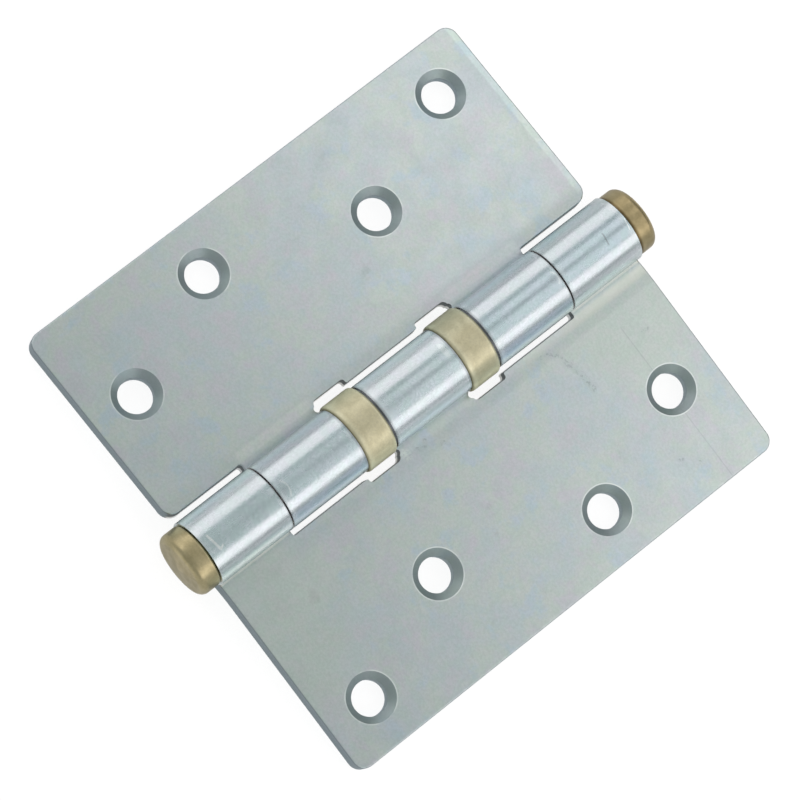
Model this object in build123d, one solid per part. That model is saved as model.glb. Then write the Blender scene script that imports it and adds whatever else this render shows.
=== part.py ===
from build123d import *
import math
import os

# Ball bearing butt hinge of 3 mm sheet steel, open on a flat surface with its countersunk faces up.
# Millimetres. The origin is the middle of the pin's axis, +Y runs along the pin to the upper end,
# +X points across the frame leaf and +Z up from the countersunk faces.

# Overall sizes
HINGE_HEIGHT = 89.0
LEAF_REACH = 43.6
SHEET = 3.0

# Pin and knuckles, all on one axis
PIN_RADIUS = 3.0
PIN_CLEARANCE = 0.05
FRONT_DROP = 0.6
SWAGE_RADIUS = 20.0
CURL_GAP = 0.15
CENTRE_KNUCKLE = 15.6
MIDDLE_KNUCKLE = 15.5
KNUCKLE_GAP = 0.3

# Cut-outs in each leaf beside the other leaf's knuckles and beside the bearings, corners and edges
SLOT_CLEARANCE = 1.15
RELIEF_CLEARANCE = 1.7
RELIEF_OVERRUN = 0.3
NOTCH_RADIUS = 0.6
ROOT_RADIUS = 0.95
BITE_RADIUS = 0.6
BITE_DEPTH = 0.4
SLOT_END_RADIUS = 0.45
STEP_RADIUS = 0.3
CORNER_RADIUS = 2.2
EDGE_ROLL = 0.25

# Countersunk screw holes, four in each leaf in a zigzag
HOLE_RADIUS = 3.0
COUNTERSINK_RADIUS = 4.25
COUNTERSINK_ANGLE = 90.0
NEAR_ROW = 26.15
FAR_ROW = 35.0
OUTER_HOLE = 35.7
INNER_HOLE = 14.6

# End caps
CAP_RADIUS = 5.75
CAP_LENGTH = 3.8
CAP_DOME = 0.3
CAP_EDGE = 1.3
CAP_RIM = 0.5
CAP_NOSE = 0.5
PLUG_LENGTH = 3.5

# Thrust bearings between the knuckles
BEARING_HEIGHT = 6.3
BALL_RADIUS = 1.0
BALL_COUNT = 10
BALL_CLEARANCE = 0.07
GROOVE_RADIUS = 1.15
CAGE_WEB = 0.22
CAGE_THICKNESS = 0.9
RACE_GAP = 1.4
RACE_PROUD = 0.35
RACE_CLEARANCE = 0.1
SHELL_WALL = 0.66
SHELL_FLOOR = 0.5
SHELL_EDGE = 0.6

# Radii about the pin
BORE_RADIUS = PIN_RADIUS + PIN_CLEARANCE
BARREL_RADIUS = BORE_RADIUS + SHEET
POCKET_RADIUS = BALL_RADIUS + BALL_CLEARANCE
RACE_BORE = PIN_RADIUS + RACE_CLEARANCE
BALL_PITCH = RACE_BORE + CAGE_WEB + POCKET_RADIUS
RACE_OUTER = BALL_PITCH + POCKET_RADIUS + CAGE_WEB
SHELL_BORE = RACE_OUTER + RACE_CLEARANCE
SHELL_RADIUS = SHELL_BORE + SHELL_WALL

# Heights along the pin, from the middle out
HALF_HEIGHT = HINGE_HEIGHT / 2
BEARING_START = CENTRE_KNUCKLE / 2
BEARING_END = BEARING_START + BEARING_HEIGHT
MIDDLE_END = BEARING_END + MIDDLE_KNUCKLE
END_START = MIDDLE_END + KNUCKLE_GAP

# Reach across a leaf: its edge beside a knuckle, beside a bearing, and where its swage runs out flat
SLOT_EDGE = BARREL_RADIUS + SLOT_CLEARANCE
RELIEF_EDGE = SHELL_RADIUS + RELIEF_CLEARANCE
SWAGE_SPAN = BORE_RADIUS + SWAGE_RADIUS
SWAGE_END = math.sqrt(SWAGE_SPAN**2 - (FRONT_DROP + SWAGE_RADIUS) ** 2)

# Each leaf droops until its outer edge lies on the surface that the bearing shells touch
LEAF_DIAGONAL = math.hypot(LEAF_REACH, FRONT_DROP + SHEET)
REST_DROOP = math.degrees(
    math.asin(SHELL_RADIUS / LEAF_DIAGONAL) - math.atan2(FRONT_DROP + SHEET, LEAF_REACH)
)


def ring(outer, inner, length):
    """A plain ring about the Y axis with its lower face at Y = 0."""
    profile = Pos((outer + inner) / 2, length / 2) * Rectangle(outer - inner, length)
    return revolve(profile, Axis.Y)


def leaf_section():
    """Rolled knuckle, swaged root and flat sheet as one section across the pin."""
    swage_angle = math.degrees(math.atan2(-FRONT_DROP - SWAGE_RADIUS, SWAGE_END))
    cosine = (BARREL_RADIUS**2 + SWAGE_SPAN**2 - SWAGE_RADIUS**2) / (2 * BARREL_RADIUS * SWAGE_SPAN)
    landing = swage_angle + math.degrees(math.acos(cosine))
    curl_end = landing + math.degrees(CURL_GAP / BARREL_RADIUS)
    curl_turn = 360 + swage_angle - curl_end
    centre = (SWAGE_END, -FRONT_DROP - SWAGE_RADIUS)
    back = -FRONT_DROP - SHEET
    bore = CenterArc((0, 0), BORE_RADIUS, curl_end, curl_turn)
    barrel = CenterArc((0, 0), BARREL_RADIUS, curl_end, curl_turn)
    front_bend = CenterArc(centre, SWAGE_RADIUS, 90, swage_angle + 90)
    back_bend = CenterArc(centre, SWAGE_RADIUS - SHEET, 90, swage_angle + 90)
    front_line = Line((SWAGE_END, -FRONT_DROP), (LEAF_REACH, -FRONT_DROP))
    outer_edge = Line((LEAF_REACH, -FRONT_DROP), (LEAF_REACH, back))
    back_line = Line((LEAF_REACH, back), (SWAGE_END, back))
    curl_edge = Line(bore @ 0, barrel @ 0)
    outline = [bore, front_bend, front_line, outer_edge, back_line, back_bend, barrel, curl_edge]
    return make_face(Plane.XZ * Curve(outline))


def span(low, high, reach):
    """A rectangle from behind the barrel out to reach, between two heights on the pin."""
    behind = -2 * BARREL_RADIUS
    return Pos((behind + reach) / 2, (low + high) / 2) * Rectangle(reach - behind, high - low)


def round_at(outline, x, y, radius):
    """Round the corners of an outline at x that lie y above or below its middle."""
    corners = outline.vertices().filter_by(lambda v: math.isclose(v.X, x) and math.isclose(abs(v.Y), y))
    return fillet(corners, radius)


def leaf_outline(slots, root, relief):
    """Leaf seen from the front: a plate with a slot beside each knuckle of the other leaf.

    Each pair in slots is one slot's heights. The slots end at the height root, and relief is the
    pair of heights between which they are deeper, to clear a bearing shell. Where a relief ends at
    the leaf's own knuckle, a small round bite frees the knuckle's root."""
    outline = span(-HALF_HEIGHT, HALF_HEIGHT, LEAF_REACH)
    for low, high in slots:
        outline -= span(low, high, SLOT_EDGE)
    for low, high in (relief, (-relief[1], -relief[0])):
        outline -= span(low, high, RELIEF_EDGE)
    step = RELIEF_EDGE - SLOT_EDGE
    root_end, step_end = relief[::-1] if relief[1] == BEARING_END else relief
    outline = round_at(outline, RELIEF_EDGE, step_end, min(NOTCH_RADIUS, 0.6 * step))
    outline = round_at(outline, SLOT_EDGE, step_end, min(STEP_RADIUS, 0.3 * step))
    outline = round_at(outline, RELIEF_EDGE, root_end, min(ROOT_RADIUS, 0.45 * (RELIEF_EDGE - BARREL_RADIUS)))
    outline = round_at(outline, SLOT_EDGE, root, SLOT_END_RADIUS)
    bite_height = root_end + math.copysign(BITE_RADIUS - BITE_DEPTH, step_end - root_end)
    for height in (bite_height, -bite_height):
        outline -= Pos(BARREL_RADIUS + 1.2 * BITE_RADIUS, height) * Circle(BITE_RADIUS)
    return round_at(outline, LEAF_REACH, HALF_HEIGHT, CORNER_RADIUS)


def screw_hole():
    """Cutter for one countersunk hole, its mouth at the leaf's front face."""
    sink_depth = (COUNTERSINK_RADIUS - HOLE_RADIUS) / math.tan(math.radians(COUNTERSINK_ANGLE / 2))
    front = -FRONT_DROP
    sink = Pos(0, 0, front - sink_depth / 2) * Cone(HOLE_RADIUS, COUNTERSINK_RADIUS, sink_depth)
    return sink + Pos(0, 0, front - SHEET) * Cylinder(HOLE_RADIUS, 2 * SHEET)


def hole_places():
    return [
        (NEAR_ROW, OUTER_HOLE),
        (FAR_ROW, INNER_HOLE),
        (NEAR_ROW, -INNER_HOLE),
        (FAR_ROW, -OUTER_HOLE),
    ]


def leaf(outline):
    """One leaf in its own flat position, reaching out along +X with its front face up.

    The press has rolled the outer edges of the front face over a little."""
    sheet = extrude(leaf_section(), HALF_HEIGHT, both=True)
    sheet &= extrude(outline, 2 * BARREL_RADIUS, both=True)
    front = sheet.faces().filter_by(Plane.XY).sort_by(Axis.Z)[-1]
    outer = front.edges().filter_by(lambda e: e.bounding_box().max.X > LEAF_REACH - 2 * CORNER_RADIUS)
    sheet = fillet(outer, EDGE_ROLL)
    for x, y in hole_places():
        sheet -= Pos(x, y, 0) * screw_hole()
    return sheet


def frame_leaf():
    """Leaf with the two end knuckles and the centre knuckle."""
    slots = [(BEARING_START, END_START), (-END_START, -BEARING_START)]
    relief = (BEARING_START, BEARING_END + RELIEF_OVERRUN)
    return Rot(0, REST_DROOP, 0) * leaf(leaf_outline(slots, END_START, relief))


def door_leaf():
    """Leaf with the two middle knuckles, turned half round to face the frame leaf."""
    slots = [(-BEARING_END, BEARING_END), (MIDDLE_END, HINGE_HEIGHT), (-HINGE_HEIGHT, -MIDDLE_END)]
    relief = (BEARING_START - RELIEF_OVERRUN, BEARING_END)
    outline = leaf_outline(slots, MIDDLE_END, relief)
    outline = round_at(outline, SLOT_EDGE, HALF_HEIGHT, CORNER_RADIUS)
    return Rot(0, 0, 180) * Rot(0, REST_DROOP, 0) * leaf(outline)


def hinge_pin():
    """Plain pin between the plugs of the two end caps."""
    length = HINGE_HEIGHT - 2 * PLUG_LENGTH
    return Rot(90, 0, 0) * Cylinder(PIN_RADIUS, length)


def end_cap():
    """Domed cap, a small flat at its middle, its rim on the end knuckle and its plug in the bore.

    It points along +Y."""
    edge_start = CAP_LENGTH - CAP_EDGE
    flat_radius = CAP_RADIUS - CAP_EDGE
    rim = CAP_RADIUS - CAP_RIM
    dome_radius = (flat_radius**2 + CAP_DOME**2) / (2 * CAP_DOME)
    dome_turn = math.degrees(math.asin(flat_radius / dome_radius))
    nose_turn = math.degrees(math.asin(CAP_NOSE / dome_radius))
    dome_middle = CAP_LENGTH + CAP_DOME - dome_radius
    nose = dome_middle + math.sqrt(dome_radius**2 - CAP_NOSE**2)
    outline = [
        Line((0, -PLUG_LENGTH), (PIN_RADIUS, -PLUG_LENGTH)),
        Line((PIN_RADIUS, -PLUG_LENGTH), (PIN_RADIUS, 0)),
        Line((PIN_RADIUS, 0), (rim, 0)),
        CenterArc((rim, CAP_RIM), CAP_RIM, -90, 90),
        Line((CAP_RADIUS, CAP_RIM), (CAP_RADIUS, edge_start)),
        CenterArc((flat_radius, edge_start), CAP_EDGE, 0, 90),
        CenterArc((0, dome_middle), dome_radius, 90 - dome_turn, dome_turn - nose_turn),
        Line((CAP_NOSE, nose), (0, nose)),
        Line((0, nose), (0, -PLUG_LENGTH)),
    ]
    return revolve(make_face(Curve(outline)), Axis.Y)


def bearing_shell():
    """Drawn cup with rounded edges that hides the races and balls, floor at Y = 0."""
    height = BEARING_HEIGHT - RACE_PROUD
    wall = ring(SHELL_RADIUS, SHELL_BORE, height)
    floor = ring(SHELL_BORE, BALL_PITCH, SHELL_FLOOR)
    rims = wall.edges().filter_by(GeomType.CIRCLE).filter_by(lambda e: abs(e.radius - SHELL_RADIUS) < 0.01)
    return fillet(rims, min(SHELL_EDGE, 0.9 * SHELL_WALL)) + floor


def race(thickness):
    """Washer with a ball groove in its top face, back at Y = 0."""
    groove_centre = thickness + RACE_GAP / 2 - BALL_RADIUS - BALL_CLEARANCE + GROOVE_RADIUS
    groove = revolve(Pos(BALL_PITCH, groove_centre) * Circle(GROOVE_RADIUS), Axis.Y)
    return ring(RACE_OUTER, RACE_BORE, thickness) - groove


def race_thickness():
    return (BEARING_HEIGHT - RACE_GAP) / 2


def lower_race():
    """Race that lies on the shell's floor."""
    return Pos(0, SHELL_FLOOR, 0) * race(race_thickness() - SHELL_FLOOR)


def upper_race():
    """Race that the knuckle above presses on, groove down."""
    return Pos(0, BEARING_HEIGHT, 0) * Rot(180, 0, 0) * race(race_thickness())


def ball_places():
    step = 360 / BALL_COUNT
    return [Rot(0, i * step, 0) * Pos(BALL_PITCH, BEARING_HEIGHT / 2, 0) for i in range(BALL_COUNT)]


def ball_cage():
    """Flat ring with one pocket for each ball."""
    cage = ring(RACE_OUTER - RACE_CLEARANCE / 2, RACE_BORE, CAGE_THICKNESS)
    cage = Pos(0, (BEARING_HEIGHT - CAGE_THICKNESS) / 2, 0) * cage
    for place in ball_places():
        cage -= place * Rot(90, 0, 0) * Cylinder(BALL_RADIUS + BALL_CLEARANCE, 2 * CAGE_THICKNESS)
    return cage


def bearing_nodes(name, start):
    """Every piece of one thrust bearing, standing on the knuckle face at Y = start."""
    at_start = Pos(0, start, 0)
    pieces = {
        f"{name}_bearing_shell": at_start * bearing_shell(),
        f"{name}_bearing_lower_race": at_start * lower_race(),
        f"{name}_bearing_upper_race": at_start * upper_race(),
        f"{name}_bearing_cage": at_start * ball_cage(),
    }
    for number, place in enumerate(ball_places(), 1):
        pieces[f"{name}_bearing_ball_{number:02d}"] = at_start * place * Sphere(BALL_RADIUS)
    return pieces


def all_nodes():
    pieces = {
        "frame_leaf": frame_leaf(),
        "door_leaf": door_leaf(),
        "hinge_pin": hinge_pin(),
        "upper_end_cap": Pos(0, HALF_HEIGHT, 0) * end_cap(),
        "lower_end_cap": Pos(0, -HALF_HEIGHT, 0) * Rot(180, 0, 0) * end_cap(),
    }
    pieces |= bearing_nodes("lower", -BEARING_END)
    pieces |= bearing_nodes("upper", BEARING_START)
    return pieces


os.makedirs("parts", exist_ok=True)
for node, solid in all_nodes().items():
    export_step(solid, f"parts/{node}.step")

print(f"each leaf droops {REST_DROOP:.3f} degrees at rest")
print(f"hinge closed after {180 + 2 * REST_DROOP:.2f} degrees")
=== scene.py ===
import math

import bpy
from bpy.props import FloatProperty, FloatVectorProperty, PointerProperty
from bpy.types import Operator, Panel, PropertyGroup
from mathutils import Euler, Matrix, Vector


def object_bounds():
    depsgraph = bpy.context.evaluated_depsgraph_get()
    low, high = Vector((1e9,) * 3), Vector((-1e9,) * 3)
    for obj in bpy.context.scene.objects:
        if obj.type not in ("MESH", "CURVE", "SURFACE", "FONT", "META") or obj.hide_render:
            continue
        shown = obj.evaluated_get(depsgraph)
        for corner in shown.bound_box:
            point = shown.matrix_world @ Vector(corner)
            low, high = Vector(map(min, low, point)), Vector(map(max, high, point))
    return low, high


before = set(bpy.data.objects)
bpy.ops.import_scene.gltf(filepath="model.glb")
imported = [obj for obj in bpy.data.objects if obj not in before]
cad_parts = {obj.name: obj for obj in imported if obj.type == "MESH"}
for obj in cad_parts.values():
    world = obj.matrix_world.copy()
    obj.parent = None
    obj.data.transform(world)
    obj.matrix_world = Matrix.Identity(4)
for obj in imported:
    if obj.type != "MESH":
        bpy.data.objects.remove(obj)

bl_info = {
    "name": "Ball bearing hinge",
    "version": (1, 0, 0),
    "blender": (4, 5, 0),
    "location": "3D View > Sidebar > Hinge",
    "description": "Gives a butt hinge its plated steel and brass finishes and a soft studio around it",
    "category": "Object",
}

PACKED_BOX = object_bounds()
MM = 0.001

# Sizes of the hinge in millimetres, as its solids have them
LEAF_REACH = 43.6
HALF_HEIGHT = 44.5
SHEET = 3.0
FRONT_DROP = 0.6
BORE_RADIUS = 3.05
BARREL_RADIUS = BORE_RADIUS + SHEET
SHELL_RADIUS = PACKED_BOX[1][2] / MM
SHEET_MIDDLE = -FRONT_DROP - SHEET / 2
NEAR_ROW = 26.15
FAR_ROW = 35.0
OUTER_HOLE = 35.7
INNER_HOLE = 14.6
COUNTERSINK_RADIUS = 4.25

# Where the knuckles end along the pin, from its middle out to both ends
BEARING_START = 7.8
BEARING_END = 14.1
MIDDLE_END = 29.6
END_START = 29.9
BEARING_MIDDLE = (BEARING_START + BEARING_END) / 2
KNUCKLE_JOINTS = (BEARING_START, BEARING_END, (MIDDLE_END + END_START) / 2, HALF_HEIGHT)

# Each leaf droops until its outer edge is as low as the bearing shells, which the hinge rests on
LEAF_DIAGONAL = math.hypot(LEAF_REACH, FRONT_DROP + SHEET)
DROOP = math.asin(SHELL_RADIUS / LEAF_DIAGONAL) - math.atan2(FRONT_DROP + SHEET, LEAF_REACH)

SCREW_HOLES = (
    (NEAR_ROW, OUTER_HOLE),
    (FAR_ROW, INNER_HOLE),
    (NEAR_ROW, -INNER_HOLE),
    (FAR_ROW, -OUTER_HOLE),
)

# Marks on the barrel, by arc from its top and place along the pin
PALE_TICKS = (
    ((-1.6, -43.05), (1.6, -42.55), 0.6),
    ((1.65, -42.6), (1.15, -41.8), 0.45),
    ((-0.7, 44.36), (1.44, 43.96), 0.25),
)
DARK_TICKS = (((-0.97, 39.83), (1.27, 39.54), 0.4),)
SCUFF = ((-1.6, 6.6), (2.2, 0.7))
# The dents are only painted: a painted highlight on the upper rim of each and painted shade on its
# floor
LOWER_DENT = ((0.2, -28.5), (1.75, 0.95))
UPPER_DENT = ((0.1, 28.5), (1.3, 0.95))
LOWER_DENT_FLOOR = ((0.15, -28.5), (1.7, 0.85))
UPPER_DENT_FLOOR = ((0.1, 28.4), (1.2, 0.85))

# Marks on the leaves, by place across the hinge and along the pin, a smudge with its width first
SMUDGES = (
    (1.1, ((8.78, 20.96), (10.22, 23.48), (13.81, 24.52), (18.5, 25.33))),
    (0.9, ((8.05, -5.34), (8.73, -3.5), (7.74, -3.21))),
    (0.9, ((9.95, -1.4), (11.38, -0.4))),
    (0.9, ((35.7, 29.1), (36.5, 30.0))),
    (0.8, ((37.6, 31.9), (38.3, 32.7))),
    (0.8, ((15.6, 37.5), (16.1, 38.8))),
)
SCRIBED_LINE = ((13, 35), (43.5, 35.3))
SCRIBED_WIDTH = 0.3
CHALKY_SPOT = ((7.9, -6.9), (1.5, 1.0))
WARM_PATCHES = (((13, 37), (13, 14)), ((14, -42), (24, 16)))

# Colours of bare, dull and worn places, and of painted highlights, painted shade and painted light
PALE_WEAR_AND_HIGHLIGHT = (0.92, 1.0, 1.0)
PAINTED_GAP_LIGHT = (1.0, 1.0, 1.0)
DULL_AND_SHADED_BARREL = (0.3, 0.33, 0.35)
SMUDGE_COLOUR = (0.3, 0.38, 0.38)
SCRIBED_COLOUR = (0.3, 0.36, 0.37)
CHALK_COLOUR = (0.86, 0.97, 0.9)
SUNK_COLOUR = (0.32, 0.4, 0.405)
BURR_HIGHLIGHT_COLOUR = (0.9, 0.98, 0.97)
SEAM_HIGHLIGHT_COLOUR = (1.0, 1.0, 0.92)
BEND_HIGHLIGHT_COLOUR = (0.9, 0.92, 0.82)
ROLLED_EDGE_SHADE = (0.2, 0.25, 0.28)
CUT_COLOUR = (0.275, 0.342, 0.382)
SLOT_SHADE_COLOUR = (0.09, 0.1, 0.105)
SLOT_BACK_LIGHT = (0.98, 0.98, 0.97)

PIN_COLOUR = (0.56, 0.57, 0.58)
# The races are painted dark as shade in the recess between each shell and its knuckle
SHADED_RACE_COLOUR = (0.16, 0.175, 0.19)
BALL_COLOUR = (0.75, 0.76, 0.78)
CAGE_COLOUR = (0.58, 0.48, 0.27)

# The stage, in metres
FLOOR_REACH = 3.0
FLOOR_GAP = 0.00002
ROOM_TINT = (0.975, 1, 0.99)
ROOM_DIMMED = 0.4
ROOM_DIM_FROM = 0.6
ROOM_DIM_TO = 0.98
PANEL_TINT = (1.0, 0.93, 0.92)
TOP_PANELS = (
    ("top_left_panel", -0.02, -0.175, 0.98),
    ("top_right_panel", 0.052, 0.28, 0.88),
)
TOP_PANEL_LENGTH = 0.5
TOP_PANEL_ALONG = 0.355
TOP_PANEL_HEIGHT = 0.35
SIDE_PANEL_LENGTH = 0.7
SIDE_PANEL_AIM = (0, 0.1, 0)
RIGHT_PANEL_WIDTH = 0.225
RIGHT_PANEL_PLACE = (0.349, 0.1, 0.21)
LEFT_PANEL_WIDTH = 0.31
LEFT_PANEL_PLACE = (-0.359, 0.1, 0.191)
CAMERA_PLACE = (-0.00098, -0.272255, 0.889852)
CAMERA_TURN_DEGREES = (10.4675, -13.2964, 50.9464)
SENSOR_WIDTH = 36
WHITE_LEVEL = 0.88


class PlatedSteelSettings(PropertyGroup):
    colour: FloatVectorProperty(
        name="Colour",
        description="Overall colour of the zinc plating",
        subtype="COLOR",
        size=3,
        min=0,
        max=1,
        default=(0.632, 0.725, 0.75),
    )
    roughness: FloatProperty(
        name="Roughness",
        description="How much the plated leaves blur what they reflect",
        subtype="FACTOR",
        min=0.1,
        max=0.8,
        default=0.32,
    )


class BrassSettings(PropertyGroup):
    shell_colour: FloatVectorProperty(
        name="Shell colour",
        description="Pale satin brass of the bearing shells",
        subtype="COLOR",
        size=3,
        min=0,
        max=1,
        default=(0.68, 0.64, 0.445),
    )
    cap_colour: FloatVectorProperty(
        name="Cap colour",
        description="Darker dull brass of the end caps",
        subtype="COLOR",
        size=3,
        min=0,
        max=1,
        default=(0.505, 0.44, 0.262),
    )


class StageSettings(PropertyGroup):
    floor_colour: FloatVectorProperty(
        name="Floor colour",
        description="Pale floor that the hinge lies on",
        subtype="COLOR",
        size=3,
        min=0,
        max=1,
        default=(0.85, 0.85, 0.85),
    )
    sky_level: FloatProperty(
        name="Room light",
        description="Brightness of the even light from all round",
        min=0,
        max=2,
        default=0.445,
    )
    top_level: FloatProperty(
        name="Top panels",
        description="Brightness of the two panels above the upper end of the pin",
        min=0,
        max=4,
        default=0.7,
    )
    right_level: FloatProperty(
        name="Right panel",
        description="Brightness of the long panel beside the frame leaf",
        min=0,
        max=4,
        default=1.0,
    )
    left_level: FloatProperty(
        name="Left panel",
        description="Brightness of the long panel beside the door leaf",
        min=0,
        max=4,
        default=0.73,
    )
    focal_length: FloatProperty(
        name="Focal length",
        description="Focal length of the camera on a 36 mm sensor",
        subtype="DISTANCE_CAMERA",
        min=20,
        max=400,
        default=261.25,
    )


def rgba(colour, factor=1.0):
    return (*[min(1.0, channel * factor) for channel in colour], 1.0)


def tinted(colour, red, green, blue):
    return rgba((colour[0] * red, colour[1] * green, colour[2] * blue))


class NodeBench:
    """Adds nodes to one material and joins them up."""

    def __init__(self, name):
        self.material = bpy.data.materials.new(name)
        self.material.use_nodes = True
        self.tree = self.material.node_tree
        self.tree.nodes.clear()

    def add(self, kind, inputs=(), **settings):
        node = self.tree.nodes.new(kind)
        for key, value in settings.items():
            setattr(node, key, value)
        for key, value in dict(inputs).items():
            self.join(value, node.inputs[key])
        return node

    def join(self, value, socket):
        if isinstance(value, bpy.types.NodeSocket):
            self.tree.links.new(value, socket)
        else:
            socket.default_value = value

    def math(self, operation, a, b=0.0):
        return self.add("ShaderNodeMath", {0: a, 1: b}, operation=operation).outputs[0]

    def distance(self, a, b):
        """Length of a line that runs a one way and b square to it."""
        return self.math("SQRT", self.math("ADD", self.all_of(a, a), self.all_of(b, b)))

    def all_of(self, first, *masks):
        """Product of masks or numbers."""
        for mask in masks:
            first = self.math("MULTIPLY", first, mask)
        return first

    def any_of(self, first, *masks):
        """Largest of several masks."""
        for mask in masks:
            first = self.math("MAXIMUM", first, mask)
        return first

    def least_of(self, first, *distances):
        """Smallest of several distances."""
        for distance in distances:
            first = self.math("MINIMUM", first, distance)
        return first

    def fade(self, value, low, high, to_low=0.0, to_high=1.0):
        """Smooth step of value from low to high."""
        inputs = {"Value": value, "From Min": low, "From Max": high}
        inputs |= {"To Min": to_low, "To Max": to_high}
        return self.add("ShaderNodeMapRange", inputs, interpolation_type="SMOOTHSTEP").outputs[0]

    def band(self, value, rise, fall):
        """Mask that fades in over rise and out over fall."""
        return self.all_of(self.fade(value, *rise), self.fade(value, *fall))

    def noise(self, place, size, detail=2.0, roughness=0.5):
        """Cloudy noise from 0 to 1, its features about size across in the units of place."""
        inputs = {"Vector": place, "Scale": 1 / size, "Detail": detail, "Roughness": roughness}
        return self.add("ShaderNodeTexNoise", inputs).outputs[0]

    def mix(self, factor, a, b, blend_type="MIX"):
        node = self.add("ShaderNodeMix", data_type="RGBA", blend_type=blend_type)
        self.join(factor, node.inputs[0])
        self.join(a, node.inputs[6])
        self.join(b, node.inputs[7])
        return node.outputs[2]

    def multiply(self, a, b):
        return self.mix(1.0, a, b, "MULTIPLY")

    def paint(self, base, mask, colour):
        """Base with a colour laid over it where the mask is 1."""
        return self.mix(mask, base, (*colour, 1))

    def stain(self, base, mask, colour):
        """Base multiplied by a colour where the mask is 1."""
        return self.mix(mask, base, self.multiply(base, (*colour, 1)))

    def shade(self, base, level):
        """Base made lighter or darker by one level."""
        return self.multiply(base, self.combine(level, level, level))

    def split(self, vector):
        return self.add("ShaderNodeSeparateXYZ", {0: vector}).outputs

    def combine(self, x, y, z):
        return self.add("ShaderNodeCombineXYZ", {0: x, 1: y, 2: z}).outputs[0]

    def bump(self, height, depth):
        """Bump from a height of 0 to 1 that stands for depth in millimetres."""
        inputs = {"Height": height, "Strength": 1.0, "Distance": depth * MM}
        return self.add("ShaderNodeBump", inputs).outputs[0]

    def finish(self, surface):
        out = self.add("ShaderNodeOutputMaterial")
        self.tree.links.new(surface.outputs[0], out.inputs[0])
        return self.material

    def metal(self, colour, roughness, normal):
        inputs = {"Base Color": colour, "Roughness": roughness, "Metallic": 1.0, "Normal": normal}
        return self.finish(self.add("ShaderNodeBsdfPrincipled", inputs))


class PieceBench(NodeBench):
    """Bench with places on a piece in millimetres, fixed to the piece as it swings."""

    def __init__(self, name):
        super().__init__(name)
        coordinates = self.add("ShaderNodeTexCoord").outputs["Object"]
        inputs = {0: coordinates, "Scale": 1 / MM}
        self.place = self.add("ShaderNodeVectorMath", inputs, operation="SCALE").outputs[0]
        self.x, self.y, self.z = self.split(self.place)
        self.radius = self.distance(self.x, self.z)

    def turn(self):
        """Angle round the pin from the top, positive towards the frame leaf."""
        return self.math("ARCTAN2", self.x, self.z)

    def clouds(self, offset, size):
        """Broad noise on the piece, moved by an offset so that no two are alike."""
        moved = self.add("ShaderNodeVectorMath", {0: self.place, 1: offset}, operation="ADD")
        return self.noise(moved.outputs[0], size, 4, 0.6)


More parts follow.
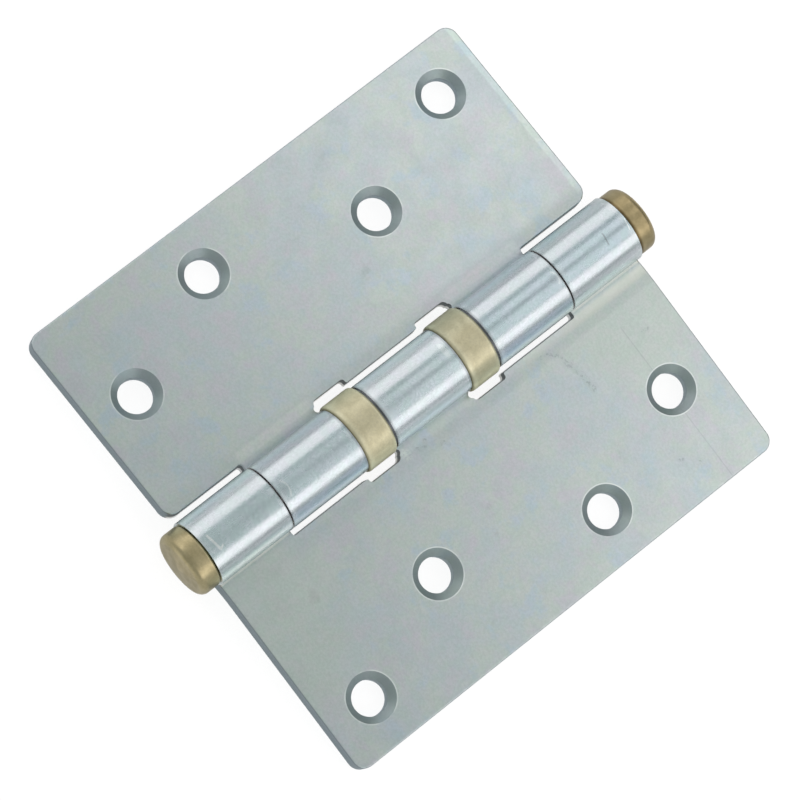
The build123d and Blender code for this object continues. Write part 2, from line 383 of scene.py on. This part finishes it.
class LeafBench(PieceBench):
    """Bench for the plating, with the places and masks that the leaves' marks are laid by.

    The arc runs round the barrel from its top. Reach and height are how far a point is from the
    pin across the hinge and from the pin's middle along it. The flat places are those on a leaf
    that is laid flat."""

    def __init__(self, name):
        super().__init__(name)
        self.reach = self.math("ABSOLUTE", self.x)
        self.height = self.math("ABSOLUTE", self.y)
        self.arc = self.all_of(self.turn(), BARREL_RADIUS)
        normal = self.split(self.add("ShaderNodeTexCoord").outputs["Normal"])
        self.along_pin = self.math("ABSOLUTE", normal[1])
        self.upright = self.math("ABSOLUTE", normal[2])
        self.set_noises()
        self.set_barrel_masks()
        self.set_flat_places()
        self.set_edge_masks()
        self.set_hole_masks()

    def set_noises(self):
        self.fine = self.noise(self.place, 0.45, 3, 0.7)
        self.medium = self.noise(self.place, 1.8, 3, 0.55)
        self.blotch = self.noise(self.place, 4, 3, 0.55)
        drawn_out = self.combine(self.arc, self.all_of(self.y, 0.2), 0.0)
        self.streak = self.noise(drawn_out, 1.2, 3, 0.55)
        self.cream = self.clouds((31, 7, 0), 9)
        self.rose = self.clouds((-12, 45, 9), 6)

    def set_barrel_masks(self):
        self.on_barrel = self.fade(self.radius, BARREL_RADIUS + 0.07, BARREL_RADIUS + 0.01)
        self.off_barrel = self.math("SUBTRACT", 1.0, self.on_barrel)
        gaps = []
        for joint in KNUCKLE_JOINTS:
            gaps.append(self.math("ABSOLUTE", self.math("SUBTRACT", self.height, joint)))
        self.from_end = self.least_of(*gaps)
        worn = self.fade(self.medium, 0.42, 0.6)
        self.rubbed = self.all_of(self.fade(self.from_end, 1.5, 0.1), worn, self.on_barrel)

    def set_flat_places(self):
        cosine, sine = math.cos(DROOP), math.sin(DROOP)
        reach_part, height_part = self.all_of(self.reach, cosine), self.all_of(self.z, sine)
        self.flat_x = self.math("SUBTRACT", reach_part, height_part)
        self.flat_y = self.all_of(self.math("SIGN", self.x), self.y)
        reach_part, height_part = self.all_of(self.reach, sine), self.all_of(self.z, cosine)
        self.flat_z = self.math("ADD", reach_part, height_part)
        self.front = self.fade(self.flat_z, SHEET_MIDDLE - 0.3, SHEET_MIDDLE)

    def set_edge_masks(self):
        long_edge = self.fade(self.reach, LEAF_REACH - 1.1, LEAF_REACH - 0.7)
        end_edge = self.fade(self.height, HALF_HEIGHT - 0.8, HALF_HEIGHT - 0.4)
        border = self.any_of(long_edge, end_edge)
        self.rolled = self.all_of(self.fade(self.upright, 0.97, 0.75), border, self.off_barrel)
        self.cut_edge = self.all_of(self.fade(self.upright, 0.5, 0.25), self.off_barrel)
        beside_barrel = self.fade(self.reach, 13, 11)
        below_end = self.fade(self.height, HALF_HEIGHT - 0.3, HALF_HEIGHT - 0.7)
        self.slot_wall = self.all_of(self.cut_edge, beside_barrel, below_end)

    def set_hole_masks(self):
        distances = []
        for hole_x, hole_y in SCREW_HOLES:
            dx = self.math("SUBTRACT", self.flat_x, hole_x)
            dy = self.math("SUBTRACT", self.flat_y, hole_y)
            distances.append(self.distance(dx, dy))
        nearest = self.least_of(*distances)
        inside = COUNTERSINK_RADIUS - 0.05
        outside = COUNTERSINK_RADIUS + 0.02
        self.sunk = self.all_of(self.fade(nearest, outside, inside), self.off_barrel, self.front)
        # Ring just outside each countersink that takes a painted highlight
        fall = (COUNTERSINK_RADIUS + 0.25, COUNTERSINK_RADIUS + 0.13)
        self.burr_highlight = self.all_of(self.band(nearest, (inside, outside), fall), self.front)


def stroke(bench, across, along, start, end, width):
    """Mask of one short scratch, a straight line of the given width between two places."""
    (x0, y0), (x1, y1) = start, end
    length = math.hypot(x1 - x0, y1 - y0)
    ux, uy = (x1 - x0) / length, (y1 - y0) / length
    dx = bench.math("SUBTRACT", across, x0)
    dy = bench.math("SUBTRACT", along, y0)
    run = bench.math("ADD", bench.all_of(dx, ux), bench.all_of(dy, uy))
    off = bench.math("SUBTRACT", bench.all_of(dy, ux), bench.all_of(dx, uy))
    beyond = bench.any_of(bench.math("SUBTRACT", run, length), bench.all_of(run, -1))
    beside = bench.math("ABSOLUTE", off)
    return bench.all_of(bench.fade(beyond, 0.25, -0.25), bench.fade(beside, width / 2, width / 6))


def scratches(bench, across, along, strokes):
    """Mask of several short scratches, each given by its ends and its width."""
    return bench.any_of(*[stroke(bench, across, along, *ends_and_width) for ends_and_width in strokes])


def trail(width, places):
    """Strokes of one scratch that bends, from place to place."""
    return [(start, end, width) for start, end in zip(places, places[1:])]


def oval(bench, across, along, centre, size):
    """How far a point is from one place, 1 on the rim of an oval of that half size."""
    dx = bench.math("DIVIDE", bench.math("SUBTRACT", across, centre[0]), size[0])
    dy = bench.math("DIVIDE", bench.math("SUBTRACT", along, centre[1]), size[1])
    return bench.distance(dx, dy)


def patch(bench, across, along, centre, size):
    """Soft oval mask about one place."""
    return bench.fade(oval(bench, across, along, centre, size), 1.0, 0.45)


def dent_rim(bench, centre, size):
    """Mask of the painted highlight on the upper rim of a shallow round dent in the barrel."""
    from_centre = oval(bench, bench.arc, bench.y, centre, size)
    off = bench.math("ABSOLUTE", bench.math("SUBTRACT", from_centre, 0.9))
    upper_half = bench.fade(bench.y, centre[1], centre[1] + size[1] / 2)
    return bench.all_of(bench.fade(off, 0.22, 0.04), upper_half)


def plating_clouds(bench, steel):
    """Zinc with faint cream, rose and blue clouds, warmer patches and a fine grain."""
    base = bench.mix(bench.fade(bench.cream, 0.4, 0.6), rgba(steel), tinted(steel, 1.04, 1.035, 0.96))
    base = bench.mix(bench.fade(bench.rose, 0.5, 0.66), base, tinted(steel, 1.06, 0.98, 1.0))
    base = bench.mix(bench.fade(bench.rose, 0.46, 0.32), base, tinted(steel, 0.96, 1.0, 1.045))
    warm = bench.any_of(*[patch(bench, bench.x, bench.y, *spot) for spot in WARM_PATCHES])
    base = bench.mix(bench.all_of(warm, 0.8), base, tinted(steel, 1.04, 1.04, 0.95))
    on_barrel = bench.all_of(bench.on_barrel, 0.8)
    base = bench.mix(on_barrel, base, tinted(steel, 0.985, 0.955, 0.975))
    mottle = bench.fade(bench.medium, 0.4, 0.6)
    base = bench.multiply(base, bench.mix(mottle, (0.98, 1.0, 0.985, 1), (1.02, 0.995, 1.01, 1)))
    grain = bench.fade(bench.fine, 0.25, 0.75, 0.945, 1.055)
    dark_blotch = bench.all_of(bench.fade(bench.blotch, 0.68, 0.78), bench.off_barrel)
    return bench.shade(base, bench.math("SUBTRACT", grain, bench.all_of(dark_blotch, 0.08)))


def shade_middle_knuckles(bench, base):
    """Painted shade on the flanks of the door leaf's knuckles, between the bearings and the end
    knuckles.
    """
    rise = (BEARING_END - 0.1, BEARING_END + 0.1)
    fall = (MIDDLE_END + 0.2, MIDDLE_END)
    middle = bench.all_of(bench.band(bench.height, rise, fall), bench.on_barrel)
    right = bench.band(bench.arc, (4.1, 5.0), (7.2, 6.2))
    base = bench.stain(base, bench.all_of(right, middle), (0.75, 0.8, 0.87))
    left = bench.fade(bench.arc, -3.7, -4.7)
    return bench.stain(base, bench.all_of(left, middle), (0.85, 0.85, 0.87))


def shade_crown(bench, base):
    """Painted reflection on the top of the barrel: cooler, paler towards its lower end and darker
    towards its upper end.
    """
    beside = bench.math("ABSOLUTE", bench.arc)
    crown = bench.all_of(bench.fade(beside, 2.7, 1.7), bench.on_barrel)
    base = bench.stain(base, crown, (0.99, 1.06, 1.06))
    lower = bench.fade(bench.y, -5, -25)
    base = bench.stain(base, bench.all_of(crown, lower), (1.05, 1.05, 1.05))
    upper = bench.fade(bench.y, BEARING_END - 0.1, BEARING_END + 0.1)
    near_top = bench.fade(bench.arc, 3.2, 2.2)
    return bench.stain(base, bench.all_of(crown, upper, near_top), (0.9, 0.92, 0.94))


def shade_end_knuckles(bench, base):
    """Painted shade and painted highlight bands on the flanks of the two end knuckles, and painted
    shade on the upper one's flank towards the door leaf.
    """
    outer = bench.all_of(bench.fade(bench.height, END_START - 0.2, END_START), bench.on_barrel)
    dark = bench.band(bench.arc, (3.9, 4.6), (6.0, 5.4))
    base = bench.stain(base, bench.all_of(dark, outer), (0.87, 0.87, 0.88))
    pale = bench.band(bench.arc, (5.9, 6.7), (8.6, 7.8))
    lower = bench.fade(bench.y, 40, -20)
    base = bench.stain(base, bench.all_of(pale, outer, lower), (1.28, 1.2, 1.18))
    dim = bench.all_of(bench.fade(bench.arc, -4.0, -4.8), outer, bench.fade(bench.y, 0, 1))
    return bench.stain(base, dim, (0.85, 0.87, 0.87))


def mark_barrel(bench, base):
    """Scratches, dents drawn with a painted highlight on their upper rims and painted shade on their
    floors, rubbed ends, painted shade at the joints of the knuckles, and painted light on their inner
    end faces.
    """
    # Pale scratches, scuff and rubbed ends, with a painted highlight on the upper rim of each dent
    rims = [dent_rim(bench, *dent) for dent in (LOWER_DENT, UPPER_DENT)]
    scuff = bench.all_of(patch(bench, bench.arc, bench.y, *SCUFF), 0.5)
    ticks = scratches(bench, bench.arc, bench.y, PALE_TICKS)
    pale = bench.any_of(ticks, scuff, *[bench.all_of(rim, 0.55) for rim in rims])
    pale = bench.any_of(bench.all_of(pale, bench.on_barrel), bench.all_of(bench.rubbed, 0.3))
    base = bench.paint(base, pale, PALE_WEAR_AND_HIGHLIGHT)

    # A dark scratch, painted shade on the dent floors, and painted shade at the joints between knuckles
    dent_floors = (LOWER_DENT_FLOOR, UPPER_DENT_FLOOR)
    floors = bench.any_of(*[patch(bench, bench.arc, bench.y, *floor) for floor in dent_floors])
    tick = scratches(bench, bench.arc, bench.y, DARK_TICKS)
    below_cap = bench.fade(bench.height, HALF_HEIGHT - 0.3, HALF_HEIGHT - 0.6)
    joint = bench.all_of(bench.fade(bench.from_end, 0.5, 0.1), below_cap)
    dull = bench.any_of(tick, bench.all_of(floors, 0.3), joint)
    base = bench.paint(base, bench.all_of(dull, bench.on_barrel, 0.6), DULL_AND_SHADED_BARREL)

    # Painted light on the knuckles' inner end faces, so the gaps between them read lighter
    end_face = bench.all_of(bench.fade(bench.along_pin, 0.6, 0.9), bench.on_barrel)
    inside = bench.fade(bench.height, HALF_HEIGHT - 0.5, HALF_HEIGHT - 1.5)
    inner_end = bench.all_of(end_face, inside)
    return bench.paint(base, inner_end, PAINTED_GAP_LIGHT)


def mark_leaves(bench, base):
    """A painted highlight along the door leaf's top edge, wandering smudges, a scribed line, nicked
    long edges and a chalky spot.
    """
    # Painted highlight where the door leaf's top edge catches the light
    top_edge = bench.fade(bench.y, HALF_HEIGHT - 1.4, HALF_HEIGHT - 1.0)
    on_door_leaf = bench.fade(bench.x, -8, -9)
    lit = bench.all_of(top_edge, on_door_leaf, bench.fade(bench.upright, 0.6, 0.9))
    base = bench.stain(base, lit, (1.12, 1.14, 1.12))

    wander = bench.math("SUBTRACT", bench.all_of(bench.medium, 2.4), 1.2)
    across = bench.math("ADD", bench.x, wander)
    along = bench.math("SUBTRACT", bench.y, wander)
    strokes = [piece for width, places in SMUDGES for piece in trail(width, places)]
    smudge = scratches(bench, across, along, strokes)
    smudge = bench.all_of(smudge, bench.fade(bench.fine, 0.45, 0.62), bench.front)
    base = bench.paint(base, bench.all_of(smudge, 0.5), SMUDGE_COLOUR)

    scribed = stroke(bench, bench.x, bench.y, *SCRIBED_LINE, SCRIBED_WIDTH)
    base = bench.paint(base, bench.all_of(scribed, bench.front, 0.22), SCRIBED_COLOUR)
    long_edge = bench.fade(bench.reach, LEAF_REACH - 0.55, LEAF_REACH - 0.35)
    nicks = bench.all_of(long_edge, bench.fade(bench.medium, 0.6, 0.66), bench.front)
    base = bench.paint(base, bench.all_of(nicks, 0.45), PALE_WEAR_AND_HIGHLIGHT)
    chalky = patch(bench, bench.x, bench.y, *CHALKY_SPOT)
    chalky = bench.all_of(chalky, bench.fade(bench.fine, 0.35, 0.6), bench.front)
    return bench.paint(base, bench.all_of(chalky, 0.5), CHALK_COLOUR)


def sink_holes(bench, base):
    """Duller countersinks, each with a painted highlight in places round its rim."""
    base = bench.paint(base, bench.all_of(bench.sunk, 0.62), SUNK_COLOUR)
    burr_highlight = bench.all_of(bench.burr_highlight, bench.fade(bench.cream, 0.4, 0.6))
    return bench.paint(base, burr_highlight, BURR_HIGHLIGHT_COLOUR)


def shade_bends(bench, base):
    """Painted highlight along the barrel at the end knuckles, and painted highlight bands where the
    sheet bends down.
    """
    beside = bench.band(bench.radius, (BARREL_RADIUS + 0.03, BARREL_RADIUS + 0.09), (6.7, 6.4))
    on_frame_leaf = bench.all_of(bench.fade(bench.x, 0, 3), bench.fade(bench.z, -3, -2))
    seam = bench.all_of(beside, on_frame_leaf, bench.fade(bench.height, 29, 31))
    base = bench.paint(base, bench.all_of(seam, 0.8), SEAM_HIGHLIGHT_COLOUR)
    frame_bend = bench.all_of(bench.band(bench.x, (6.6, 7.3), (9, 8.2)), bench.fade(bench.y, 5, 38))
    base = bench.paint(base, bench.all_of(frame_bend, 0.4), BEND_HIGHLIGHT_COLOUR)
    across = bench.band(bench.x, (-7, -7.6), (-9.4, -8.6))
    door_bend = bench.all_of(across, bench.band(bench.height, (13, 15), (30, 29)))
    return bench.stain(base, door_bend, (1.14, 1.11, 1.1))


def darken_edges(bench, base):
    """Painted shade on the rolled edges, darker cut edges, and slot walls with painted shade in front
    and painted light behind.
    """
    base = bench.paint(base, bench.all_of(bench.rolled, 0.8), ROLLED_EDGE_SHADE)
    base = bench.paint(base, bench.all_of(bench.cut_edge, 0.75), CUT_COLOUR)
    # Painted shade on the front of the slot walls, painted light behind
    base = bench.paint(base, bench.all_of(bench.slot_wall, 0.8), SLOT_SHADE_COLOUR)
    behind = bench.fade(bench.flat_z, SHEET_MIDDLE - 0.4, SHEET_MIDDLE - 0.8)
    return bench.paint(base, bench.all_of(bench.slot_wall, behind), SLOT_BACK_LIGHT)


def plating_roughness(bench, level):
    """Smoother knuckles with streaks, and duller rubbed ends, cut edges and countersinks."""
    rough = bench.math("ADD", bench.fade(bench.blotch, 0.3, 0.7, -0.025, 0.025), level)
    rough = bench.math("SUBTRACT", rough, bench.all_of(bench.on_barrel, 0.06))
    streaks = bench.fade(bench.streak, 0.3, 0.7, -0.02, 0.02)
    rough = bench.math("ADD", rough, bench.all_of(streaks, bench.on_barrel))
    rough = bench.math("ADD", rough, bench.all_of(bench.rubbed, 0.06))
    return bench.math("ADD", rough, bench.all_of(bench.any_of(bench.cut_edge, bench.sunk), 0.15))


def plated_steel(settings):
    """Bright zinc on rolled sheet, with smoother rolled knuckles and the marks of use."""
    bench = LeafBench("plated_steel")
    base = plating_clouds(bench, settings.colour)
    layers = (
        shade_middle_knuckles,
        shade_crown,
        shade_end_knuckles,
        mark_barrel,
        mark_leaves,
        sink_holes,
        shade_bends,
        darken_edges,
    )
    for layer in layers:
        base = layer(bench, base)
    ripple = bench.math("ADD", bench.all_of(bench.medium, 0.6), bench.all_of(bench.streak, 0.4))
    relief = bench.math("ADD", bench.all_of(bench.fine, 0.4), bench.all_of(ripple, bench.on_barrel))
    return bench.metal(base, plating_roughness(bench, settings.roughness), bench.bump(relief, 0.02))


class BrassBench(PieceBench):
    """Bench for dull plated brass with soft darker patches, mottle being their strength."""

    def __init__(self, name, colour, roughness, mottle, patch_size=1.8):
        super().__init__(name)
        self.colour = colour
        self.angle = self.turn()
        patches = self.fade(self.noise(self.place, patch_size, 5, 0.65), 0.32, 0.68)
        dark = tinted(colour, 1 - mottle, 1 - mottle, 1 - 1.3 * mottle)
        self.base = self.mix(patches, dark, rgba(colour, 1 + mottle))
        self.rough = self.fade(patches, 0, 1, roughness + 0.04, roughness - 0.04)

    def brown_below(self, radius, strength):
        """Browner brass where the piece turns in below a radius."""
        edge = self.all_of(self.fade(self.radius, radius, radius - 0.4), strength)
        self.base = self.mix(edge, self.base, tinted(self.colour, 0.42, 0.36, 0.27))

    def brass(self):
        grain = self.fade(self.noise(self.place, 0.35, 3, 0.7), 0.3, 0.7, 0.95, 1.05)
        relief = self.noise(self.place, 0.35, 3, 0.6)
        return self.metal(self.shade(self.base, grain), self.rough, self.bump(relief, 0.01))


def cap_brass(colour):
    """Dull brass of the end caps, darker on the upper cap, with painted shade next to the upper cap's
    knuckle and on the flanks of both caps, more on the upper one.
    """
    bench = BrassBench("dull_cap_brass", colour, 0.36, 0.1)
    bench.brown_below(4.9, 0.17)
    upper = bench.fade(bench.y, -1, 1)
    # Painted shade on the upper cap next to its knuckle
    rim = bench.all_of(bench.fade(bench.y, HALF_HEIGHT + 0.85, HALF_HEIGHT + 0.35), upper, 0.85)
    bench.base = bench.mix(rim, bench.base, tinted(colour, 0.36, 0.31, 0.24))
    bench.base = bench.stain(bench.base, upper, (0.87, 0.83, 0.79))
    # Painted shade on the flanks of both caps, more on the upper one
    flank = bench.fade(bench.math("ABSOLUTE", bench.angle), 0.5, 0.9, 0.0, 0.6)
    darker = bench.all_of(flank, bench.fade(bench.y, -1, 1, 0.0, 0.6))
    bench.base = bench.stain(bench.base, bench.math("ADD", flank, darker), (0.76, 0.78, 0.8))
    return bench.brass()


def shade_bearing(bench):
    """Painted shade on the flanks, more on the upper bearing, and a painted highlight crest near both
    rims of a shell.
    """
    left = bench.fade(bench.angle, -0.2, -0.6)
    right = bench.all_of(bench.band(bench.angle, (0.55, 0.75), (1.2, 1.0)), 0.8)
    upper = bench.all_of(bench.any_of(left, right), bench.fade(bench.y, 7, 8))
    lower = bench.all_of(left, bench.fade(bench.y, 1, -1, 0.0, 0.3))
    bench.base = bench.stain(bench.base, bench.math("ADD", upper, lower), (0.76, 0.79, 0.81))
    height = bench.math("ABSOLUTE", bench.y)
    off = bench.math("ABSOLUTE", bench.math("SUBTRACT", height, BEARING_MIDDLE))
    crest = bench.all_of(bench.band(off, (1.8, 2.4), (2.95, 2.7)), 0.7)
    bench.base = bench.stain(bench.base, crest, (1.12, 1.15, 1.2))


def shell_brass(colour):
    """Satin brass of the bearing shells, browner on their rims."""
    bench = BrassBench("satin_shell_brass", colour, 0.48, 0.06)
    bench.brown_below(6.4, 0.85)
    shade_bearing(bench)
    return bench.brass()


def cage_brass():
    """Stamped brass of the ball cages, with the same painted shade and highlight as the shells round
    them.
    """
    bench = BrassBench("stamped_cage_brass", CAGE_COLOUR, 0.4, 0.06, 1.5)
    shade_bearing(bench)
    return bench.brass()


def turned_steel(name, colour, roughness):
    """Bare steel with fine rings round the pin's axis."""
    bench = PieceBench(name)
    rings = bench.noise(bench.combine(bench.radius, bench.y, 0.0), 0.12, 2)
    base = bench.mix(rings, rgba(colour, 0.92), rgba(colour, 1.06))
    return bench.metal(base, roughness, bench.bump(rings, 0.004))


def pin_steel():
    """Drawn steel of the pin."""
    return turned_steel("drawn_pin_steel", PIN_COLOUR, 0.3)


def race_steel():
    """Ground steel of the races, painted dark as shade in the recess between each shell and its
    knuckle.
    """
    return turned_steel("ground_race_steel", SHADED_RACE_COLOUR, 0.35)


def ball_steel():
    """Polished steel of the balls."""
    return turned_steel("polished_ball_steel", BALL_COLOUR, 0.08)


def set_finish(nodes, material):
    for name in nodes:
        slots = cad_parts[name].material_slots
        if not slots:
            raise RuntimeError(f"{name} has no material slot")
        for slot in slots:
            slot.material = material


class HINGE_OT_plate_leaves(Operator):
    """Plate both leaves with bright zinc"""

    bl_idname = "hinge.plate_leaves"
    bl_label = "Plate the leaves"

    def execute(self, context):
        set_finish(["frame_leaf", "door_leaf"], plated_steel(context.scene.hinge_steel))
        return {"FINISHED"}


class HINGE_OT_finish_pin(Operator):
    """Give the pin its drawn steel and the end caps their dull brass"""

    bl_idname = "hinge.finish_pin"
    bl_label = "Finish the pin and caps"

    def execute(self, context):
        set_finish(["hinge_pin"], pin_steel())
        caps = cap_brass(context.scene.hinge_brass.cap_colour)
        set_finish(["upper_end_cap", "lower_end_cap"], caps)
        return {"FINISHED"}


class HINGE_OT_finish_bearings(Operator):
    """Give both thrust bearings their brass, ground steel and polished balls"""

    bl_idname = "hinge.finish_bearings"
    bl_label = "Finish the bearings"

    def execute(self, context):
        shell = shell_brass(context.scene.hinge_brass.shell_colour)
        cage = cage_brass()
        race = race_steel()
        ball = ball_steel()
        for bearing in ("lower_bearing", "upper_bearing"):
            set_finish([f"{bearing}_shell"], shell)
            set_finish([f"{bearing}_cage"], cage)
            set_finish([f"{bearing}_lower_race", f"{bearing}_upper_race"], race)
            balls = [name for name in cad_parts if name.startswith(f"{bearing}_ball_")]
            set_finish(balls, ball)
        return {"FINISHED"}


def soft_panel(name, across, along, place, target, level):
    """Area lamp that looks equally bright from wherever it is seen, its length along the pin."""
    lamp = bpy.data.lights.new(name, "AREA")
    lamp.shape = "RECTANGLE"
    lamp.size = along
    lamp.size_y = across
    lamp.energy = level * along * across * math.pi
    lamp.color = PANEL_TINT
    panel = bpy.data.objects.new(name, lamp)
    bpy.context.scene.collection.objects.link(panel)
    back = (Vector(place) - Vector(target)).normalized()
    pin = Vector((0, 1, 0))
    panel.rotation_euler = Matrix((pin, back.cross(pin), back)).transposed().to_euler()
    panel.location = place
    panel.visible_camera = False


def hang_panels(settings):
    """Two panels over the upper end of the pin, and one long panel beside each leaf."""
    for name, inner, outer, share in TOP_PANELS:
        place = Vector(((inner + outer) / 2, TOP_PANEL_ALONG, TOP_PANEL_HEIGHT))
        below = place - Vector((0, 0, 1))
        level = settings.top_level * share
        soft_panel(name, abs(outer - inner), TOP_PANEL_LENGTH, place, below, level)
    sides = (
        ("right_panel", RIGHT_PANEL_WIDTH, RIGHT_PANEL_PLACE, settings.right_level),
        ("left_panel", LEFT_PANEL_WIDTH, LEFT_PANEL_PLACE, settings.left_level),
    )
    for name, width, place, level in sides:
        soft_panel(name, width, SIDE_PANEL_LENGTH, place, SIDE_PANEL_AIM, level)


def floor_material(settings):
    """Pale floor that cameras and polished metal see as white, with the hinge's shadow on it.

    To the camera it is clear glass over the white room, so that a leaf folded back below it
    still shows."""
    bench = NodeBench("pale_floor")
    ray = bench.add("ShaderNodeLightPath").outputs
    mirrored = bench.any_of(bench.all_of(ray["Is Glossy Ray"], 0.4), ray["Is Transmission Ray"])
    glow = bench.add("ShaderNodeEmission", {"Color": (1, 1, 1, 1), "Strength": WHITE_LEVEL})
    clear = bench.add("ShaderNodeBsdfTransparent", {"Color": rgba((WHITE_LEVEL,) * 3)})
    thin = bench.add("ShaderNodeBsdfDiffuse", {"Color": rgba(settings.floor_colour, 0.3)})
    full = bench.add("ShaderNodeBsdfDiffuse", {"Color": rgba(settings.floor_colour)})
    white = bench.add("ShaderNodeAddShader", {0: glow.outputs[0], 1: thin.outputs[0]})
    glass = bench.add("ShaderNodeAddShader", {0: clear.outputs[0], 1: thin.outputs[0]})
    inputs = {0: mirrored, 1: full.outputs[0], 2: white.outputs[0]}
    to_others = bench.add("ShaderNodeMixShader", inputs)
    inputs = {0: ray["Is Camera Ray"], 1: to_others.outputs[0], 2: glass.outputs[0]}
    return bench.finish(bench.add("ShaderNodeMixShader", inputs))


def lay_floor(settings):
    low = PACKED_BOX[0][2] - FLOOR_GAP
    signs = ((-1, -1), (1, -1), (1, 1), (-1, 1))
    corners = [(FLOOR_REACH * across, FLOOR_REACH * along, low) for across, along in signs]
    mesh = bpy.data.meshes.new("floor")
    mesh.from_pydata(corners, [], [(0, 1, 2, 3)])
    floor = bpy.data.objects.new("floor", mesh)
    bpy.context.scene.collection.objects.link(floor)
    floor.data.materials.append(floor_material(settings))


def room(settings):
    """Even light from all round, dimmer beyond the pin's upper end, that cameras see as white."""
    world = bpy.data.worlds.new("studio")
    world.use_nodes = True
    tree = world.node_tree
    direction = tree.nodes.new("ShaderNodeTexCoord").outputs["Generated"]
    split = tree.nodes.new("ShaderNodeSeparateXYZ")
    tree.links.new(direction, split.inputs[0])
    fade = tree.nodes.new("ShaderNodeMapRange")
    fade.interpolation_type = "SMOOTHSTEP"
    fade.inputs["From Min"].default_value = ROOM_DIM_TO
    fade.inputs["From Max"].default_value = ROOM_DIM_FROM
    fade.inputs["To Min"].default_value = settings.sky_level * ROOM_DIMMED
    fade.inputs["To Max"].default_value = settings.sky_level
    tree.links.new(split.outputs["Y"], fade.inputs["Value"])
    light = tree.nodes["Background"]
    light.inputs["Color"].default_value = (*ROOM_TINT, 1)
    tree.links.new(fade.outputs[0], light.inputs["Strength"])
    paper = tree.nodes.new("ShaderNodeBackground")
    paper.inputs["Color"].default_value = (1, 1, 1, 1)
    pick = tree.nodes.new("ShaderNodeMixShader")
    ray = tree.nodes.new("ShaderNodeLightPath")
    tree.links.new(ray.outputs["Is Camera Ray"], pick.inputs[0])
    tree.links.new(light.outputs[0], pick.inputs[1])
    tree.links.new(paper.outputs[0], pick.inputs[2])
    tree.links.new(pick.outputs[0], tree.nodes["World Output"].inputs["Surface"])
    return world


def place_camera(focal_length):
    lens = bpy.data.cameras.new("camera")
    lens.lens = focal_length
    lens.sensor_width = SENSOR_WIDTH
    lens.clip_start = 0.01
    camera = bpy.data.objects.new("camera", lens)
    camera.location = CAMERA_PLACE
    camera.rotation_euler = Euler([math.radians(angle) for angle in CAMERA_TURN_DEGREES])
    bpy.context.scene.collection.objects.link(camera)
    bpy.context.scene.camera = camera


class HINGE_OT_set_stage(Operator):
    """Lay the pale floor, hang the soft panels and place the camera"""

    bl_idname = "hinge.set_stage"
    bl_label = "Set the stage"

    def execute(self, context):
        settings = context.scene.hinge_stage
        context.scene.view_settings.view_transform = "Standard"
        lay_floor(settings)
        context.scene.world = room(settings)
        hang_panels(settings)
        place_camera(settings.focal_length)
        return {"FINISHED"}


class HINGE_PT_panel(Panel):
    """Colours of the hinge and its stage, and the steps that apply them"""

    bl_idname = "HINGE_PT_panel"
    bl_label = "Ball bearing hinge"
    bl_space_type = "VIEW_3D"
    bl_region_type = "UI"
    bl_category = "Hinge"

    def draw(self, context):
        layout = self.layout
        for group in (context.scene.hinge_steel, context.scene.hinge_brass, context.scene.hinge_stage):
            box = layout.box()
            for name in group.__annotations__:
                box.prop(group, name)
        for step in STEPS:
            layout.operator(step.bl_idname)


GROUPS = {
    "hinge_steel": PlatedSteelSettings,
    "hinge_brass": BrassSettings,
    "hinge_stage": StageSettings,
}
STEPS = (HINGE_OT_plate_leaves, HINGE_OT_finish_pin, HINGE_OT_finish_bearings, HINGE_OT_set_stage)
CLASSES = (*GROUPS.values(), *STEPS, HINGE_PT_panel)


def register():
    for kind in CLASSES:
        bpy.utils.register_class(kind)
    for name, kind in GROUPS.items():
        setattr(bpy.types.Scene, name, PointerProperty(type=kind))


def unregister():
    for name in GROUPS:
        delattr(bpy.types.Scene, name)
    for kind in reversed(CLASSES):
        bpy.utils.unregister_class(kind)


def main():
    register()
    bpy.ops.hinge.plate_leaves()
    bpy.ops.hinge.finish_pin()
    bpy.ops.hinge.finish_bearings()
    bpy.ops.hinge.set_stage()


if __name__ == "__main__":
    main()
